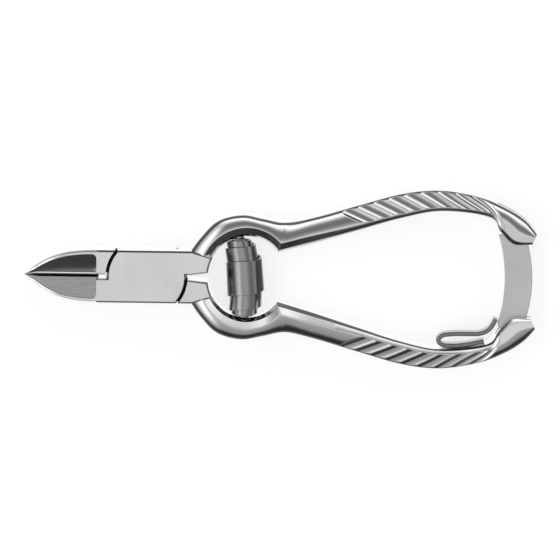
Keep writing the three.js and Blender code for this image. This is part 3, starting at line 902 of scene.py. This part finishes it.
def floor():
    """A pale floor, which lights steep rays from the tool more than grazing ones."""
    reach, low = FLOOR_REACH, LEVER_LOW[2] - FLOOR_GAP
    points = [(-reach, -reach, low), (reach, -reach, low), (reach, reach, low), (-reach, reach, low)]
    obj = new_object("floor", points, [(0, 1, 2, 3)])
    paint, nodes, links, shader = new_material("floor_paint")
    shader.inputs["Roughness"].default_value = 0.8
    shader.inputs["Specular IOR Level"].default_value = 0.0
    shader.inputs["Emission Color"].default_value = (1, 1, 1, 1)
    seen = add_node(nodes, "LightPath")
    facing = add_node(nodes, "LayerWeight", Blend=0.5)
    glow = add_node(nodes, "MapRange", From_Min=0.1, From_Max=0.32, To_Min=1.1, To_Max=0.12)
    links.new(facing.outputs["Facing"], glow.inputs["Value"])
    shine = add_node(nodes, "Mix", B=0.75)
    links.new(seen.outputs["Is Camera Ray"], shine.inputs["Factor"])
    links.new(glow.outputs["Result"], shine.inputs["A"])
    links.new(shine.outputs["Result"], shader.inputs["Emission Strength"])
    # The floor's colour is dark to every ray but the camera's: painted shade, which the tool's edges
    # reflect.
    shade = add_colour_mix(nodes, A=(0.06, 0.06, 0.06), B=(0.5, 0.5, 0.5))
    links.new(seen.outputs["Is Camera Ray"], shade.inputs["Factor"])
    links.new(shade.outputs["Result"], shader.inputs["Base Color"])
    dress(obj, paint)


# Brightness of the studio by height above the horizon (the sine of the elevation): behind the upper
# handle, in front of the lower one, and to the left beyond the jaws. Overhead all three end in the
# same grey ceiling.
BRIGHTEST = 2.6
BEHIND = [
    (0.0, 0.01), (0.14, 0.01), (0.24, 0.5), (0.36, 1.6), (0.48, 1.2), (0.58, 0.52), (0.67, 0.18),
    (0.86, 0.18), (0.93, 0.4), (0.965, 0.9), (1.0, 0.72),
]
BEFORE = [
    (0.0, 0.01), (0.2, 0.03), (0.38, 0.03), (0.48, 0.32), (0.7, 0.36), (0.88, 0.45), (0.965, 0.85),
    (1.0, 0.72),
]
LEFT = [
    (0.0, 0.01), (0.28, 0.01), (0.4, 0.5), (0.56, 0.7), (0.68, 1.5), (0.86, 1.6), (1.0, 0.72),
]


def studio():
    """Soft light from all round, with bright bands behind and to the left and a dim one in front."""
    world = bpy.data.worlds.new("studio")
    bpy.context.scene.world = world
    world.use_nodes = True
    nodes, links = world.node_tree.nodes, world.node_tree.links
    direction = add_node(nodes, "TexCoord")
    axes = add_node(nodes, "SeparateXYZ")
    links.new(direction.outputs["Generated"], axes.inputs["Vector"])

    def ramp(stops):
        """The light of one side, by height."""
        node = nodes.new("ShaderNodeValToRGB")
        node.color_ramp.interpolation = "B_SPLINE"
        elements = node.color_ramp.elements
        while len(elements) < len(stops):
            elements.new(0.5)
        for element, (height, level) in zip(elements, stops):
            element.position = height
            element.color = (*[level / BRIGHTEST] * 3, 1)
        links.new(axes.outputs["Z"], node.inputs["Fac"])
        return node.outputs["Color"]

    def blend(axis, start, end, light, other_light):
        """One light that passes smoothly into another between two places on an axis."""
        share = add_node(nodes, "MapRange", From_Min=start, From_Max=end)
        share.interpolation_type = "SMOOTHSTEP"
        links.new(axes.outputs[axis], share.inputs["Value"])
        mix = add_colour_mix(nodes)
        links.new(share.outputs["Result"], mix.inputs["Factor"])
        links.new(light, mix.inputs["A"])
        links.new(other_light, mix.inputs["B"])
        return mix.outputs["Result"]

    front_to_back = blend("Y", -0.35, 0.35, ramp(BEFORE), ramp(BEHIND))
    all_round = blend("X", -0.32, -0.6, front_to_back, ramp(LEFT))
    lit = nodes["Background"]
    lit.inputs["Strength"].default_value = BRIGHTEST
    links.new(all_round, lit.inputs["Color"])

    # The camera itself sees a plain pale backdrop beyond the floor.
    backdrop = add_node(nodes, "Background", Color=(0.93, 0.93, 0.93, 1))
    seen = add_node(nodes, "LightPath")
    choice = add_node(nodes, "MixShader")
    links.new(seen.outputs["Is Camera Ray"], choice.inputs["Fac"])
    links.new(lit.outputs["Background"], choice.inputs[1])
    links.new(backdrop.outputs["Background"], choice.inputs[2])
    links.new(choice.outputs["Shader"], nodes["World Output"].inputs["Surface"])


CAMERA_TILT, CAMERA_ROLL, CAMERA_DISTANCE = math.radians(7.5), 0.0135, 1.5
VIEW_WIDTH = 0.1535  # of the picture at the tool, in metres
VIEW_MIDDLE = ((TIP_X + END_X) / 2, -0.96, MID)
SENSOR_WIDTH = 36


def camera():
    """Looks down on the tool from a little towards the upper handle, from far away."""
    data = bpy.data.cameras.new("camera")
    data.sensor_width = SENSOR_WIDTH
    data.lens = SENSOR_WIDTH * CAMERA_DISTANCE / VIEW_WIDTH
    data.clip_end = 10
    obj = bpy.data.objects.new("camera", data)
    sideways = math.sin(CAMERA_TILT)
    towards = np.array([
        -sideways * math.sin(CAMERA_ROLL),
        sideways * math.cos(CAMERA_ROLL),
        math.cos(CAMERA_TILT),
    ])
    obj.location = np.array(VIEW_MIDDLE) / MM + CAMERA_DISTANCE * towards
    obj.rotation_euler = (-CAMERA_TILT, 0, CAMERA_ROLL)
    bpy.context.scene.collection.objects.link(obj)
    bpy.context.scene.camera = obj


floor()
studio()
camera()
bpy.context.scene.view_settings.view_transform = "Standard"
